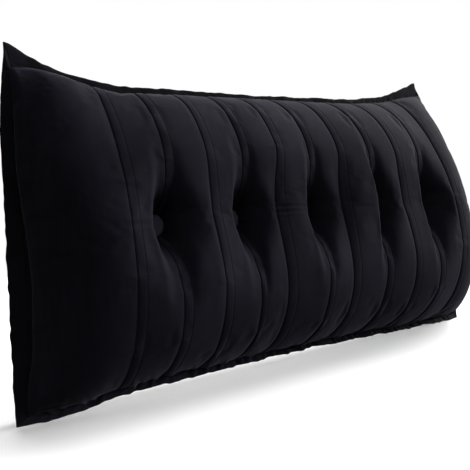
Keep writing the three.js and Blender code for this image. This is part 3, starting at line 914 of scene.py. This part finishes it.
# ------------------------------------------------------------------ zip: coil teeth, tape, stops and slider
def coil(name, s):
    """A nylon coil: one continuous spring of wire, 2.1 mm between turns, whose heads meet at the middle."""
    turns = int((333 + 334.5) / 2.1)
    per, sides, wire = 8, 5, 0.36
    n = turns * per
    k = np.arange(n + 1)
    a = k / per * 2 * np.pi
    x = -334.3 + (333 + 334.1) * k / n
    zc = ZIP_Z + s * 1.72
    z = zc - s * np.cos(a) * 0.86 * (1 - 0.15 * np.cos(2 * a))
    h = -(37.1 + 0.44 * np.sin(a))
    c = np.stack([x, Y0 - h, z], -1)
    tan = np.gradient(c, axis=0)
    tan /= np.linalg.norm(tan, axis=1, keepdims=True)
    ref = np.tile([1.0, 0.0, 0.0], (len(c), 1))
    side = np.cross(tan, ref)
    side /= np.linalg.norm(side, axis=1, keepdims=True) + 1e-9
    up = np.cross(side, tan)
    b = np.arange(sides) * 2 * np.pi / sides
    ring = c[:, None] + wire * (np.cos(b)[None, :, None] * side[:, None] + np.sin(b)[None, :, None] * up[:, None])
    m = len(c)
    i, j = np.meshgrid(np.arange(m - 1), np.arange(sides), indexing="ij")
    j2 = (j + 1) % sides
    f = np.stack([i * sides + j, i * sides + j2, (i + 1) * sides + j2, (i + 1) * sides + j], -1).reshape(-1, 4).tolist()
    f = [tuple(q) for q in f] + [tuple(reversed(range(sides))), tuple((m - 1) * sides + q for q in range(sides))]
    o = mesh_object(name + "_coil", ring.reshape(-1, 3), f, M_NYLON)
    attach(o, "cushion")
    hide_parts(name)


coil("zip_teeth_lower", -1)
coil("zip_teeth_upper", 1)


def soften(name, mat, width):
    o = nodes[name]
    o.data.materials.clear()
    o.data.materials.append(mat)
    if width:
        b = o.modifiers.new("edges", "BEVEL")
        b.width = width
        b.segments = 3
        b.limit_method = "ANGLE"
        b.angle_limit = math.radians(35)
        b.harden_normals = False
    return o


for name in ("zip_tape_lower", "zip_tape_upper"):
    soften(name, M_TAPE, 0.0)
for name in ("zip_bottom_stop", "zip_top_stop_lower", "zip_top_stop_upper"):
    soften(name, M_METAL, 0.00025)
soften("zip_slider", M_METAL, 0.0002)
soften("zip_pull_tab", M_METAL, 0.00028)
for n in range(1, 6):
    soften("back_button_%d" % n, M_DISC, 0.0006)
    soften("tufting_twine_%d" % n, M_TWINE, 0.0)


# ------------------------------------------------------------------ filling, inside the cover
def filling(name, inset, back, mat, replaced):
    us = np.linspace(-HALF + inset * 0.9, HALF - inset * 0.9, 120)
    vs = np.linspace(0.0, 1.0, 90)
    U, V = np.meshgrid(us, vs, indexing="ij")
    x, h, z, w, share = front(U, V, 2.0)
    p = points(x, h, z)
    n = normals(p)
    keep = np.minimum(1, np.cos(angle_at(V)) * 3)
    p = p - n * inset
    p[..., 1] = np.minimum(p[..., 1], Y0 - 1.0 + 0 * keep)
    zlo, zhi = bottom_seam(U) + inset * 0.9, top_seam(U) - inset * 0.9
    p[..., 2] = np.clip(p[..., 2], zlo, zhi)
    edge = -HALF + inset, HALF - inset
    p[..., 0] = np.clip(p[..., 0], *edge)
    b = p.copy()
    b[..., 1] = Y0 + back
    zz = np.linspace(0, 1, len(vs))[None, :]
    pad = 16.0
    b[..., 2] = (bottom_seam(U) + pad + inset * 0.6) * (1 - zz) + (top_seam(U) - pad - inset * 0.6) * zz
    b[..., 0] = np.clip(us[:, None] * 0.955, -HALF + pad + inset, HALF - pad - inset) + 0 * zz
    a1, m1 = p.shape[:2]
    rim = rim_of(a1, m1)
    verts = np.concatenate([p.reshape(-1, 3), b.reshape(-1, 3)])
    off = a1 * m1
    r2 = np.roll(rim, -1)
    faces = np.concatenate([grid_faces(a1, m1), grid_faces(a1, m1, True, off), np.stack([rim, rim + off, r2 + off, r2], -1)])
    o = mesh_object(name, verts, faces, mat)
    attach(o, "cushion")
    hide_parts(*replaced)


filling("wadding_wrap", 11.0, 33.0, M_WADDING, ("front_wadding", "back_wadding"))
filling("foam_block", 24.0, 26.0, M_FOAM, ("foam_core",))


# ------------------------------------------------------------------ floor, light and camera
def floor():
    m, t, b = material("floor")
    c = t.nodes.new("ShaderNodeTexCoord").outputs["Object"]
    f = noise(t, c, 3.0, 3.0)
    link(t, ramp(t, f, [(0.3, (0.86, 0.86, 0.86)), (0.7, (0.90, 0.90, 0.90))]), b.inputs["Base Color"])
    b.inputs["Roughness"].default_value = 0.9
    b.inputs["Specular IOR Level"].default_value = 0.1
    o = mesh_object("floor", [(-30000, -30000, 0), (30000, -30000, 0), (30000, 30000, 0), (-30000, 30000, 0)], [(0, 1, 2, 3)], m)
    o.visible_diffuse = o.visible_glossy = False  # a soft dark studio: the floor throws no light back on the fabric


floor()

world = bpy.data.worlds.new("studio")
scene.world = world
world.use_nodes = True
wt = world.node_tree
wt.nodes.clear()
out = wt.nodes.new("ShaderNodeOutputWorld")
mixer = wt.nodes.new("ShaderNodeMixShader")
lamp, seen = wt.nodes.new("ShaderNodeBackground"), wt.nodes.new("ShaderNodeBackground")
lamp.inputs["Color"].default_value = (1, 1, 1, 1)
lamp.inputs["Strength"].default_value = 0.06
seen.inputs["Color"].default_value = (1, 1, 1, 1)
seen.inputs["Strength"].default_value = 1.0
path = wt.nodes.new("ShaderNodeLightPath")
wt.links.new(path.outputs["Is Camera Ray"], mixer.inputs[0])
wt.links.new(lamp.outputs[0], mixer.inputs[1])
wt.links.new(seen.outputs[0], mixer.inputs[2])
wt.links.new(mixer.outputs[0], out.inputs[0])


def sun(name, direction, strength, angle, colour=(1, 1, 1)):
    d = bpy.data.lights.new(name, "SUN")
    d.energy = strength
    d.angle = math.radians(angle)
    d.color = colour
    o = bpy.data.objects.new(name, d)
    scene.collection.objects.link(o)
    o.rotation_mode = "QUATERNION"
    o.rotation_quaternion = Vector(direction).to_track_quat("Z", "Y")
    return o


def aimed(azimuth, elevation):
    """The way to a lamp: azimuth 0 is straight in front of the cushion, 90 off its right end."""
    a, e = math.radians(azimuth), math.radians(elevation)
    return (math.cos(e) * math.sin(a), -math.cos(e) * math.cos(a), math.sin(e))


sun("key", aimed(63, 11), 7.0, 36)
sun("side", aimed(92, 36), 4.8, 40)
sun("front_fill", aimed(14, 20), 1.0, 50)
sun("left_fill", aimed(-40, 20), 0.9, 40)
sun("back_fill", aimed(172, 22), 3.0, 50)

cam_data = bpy.data.cameras.new("camera")
cam = bpy.data.objects.new("camera", cam_data)
scene.collection.objects.link(cam)
right, up = Vector((0.8553, -0.5061, -0.1108)).normalized(), Vector((0.0267, -0.1705, 0.985))
back = right.cross(up).normalized()
up = back.cross(right).normalized()
rot = Matrix((right, up, back)).transposed().to_4x4()
cam.matrix_world = Matrix.Translation(Vector((-0.5631, (Y0 - 808.6) / 1000, 0.2021))) @ rot
cam_data.sensor_width = 36
cam_data.lens = 551 / 470 * 36
cam_data.shift_x = 0.0
cam_data.shift_y = -0.131
cam_data.clip_start, cam_data.clip_end = 0.02, 100
scene.camera = cam
scene.view_settings.view_transform = "Standard"
scene.view_settings.look = "None"

bpy.context.view_layer.update()
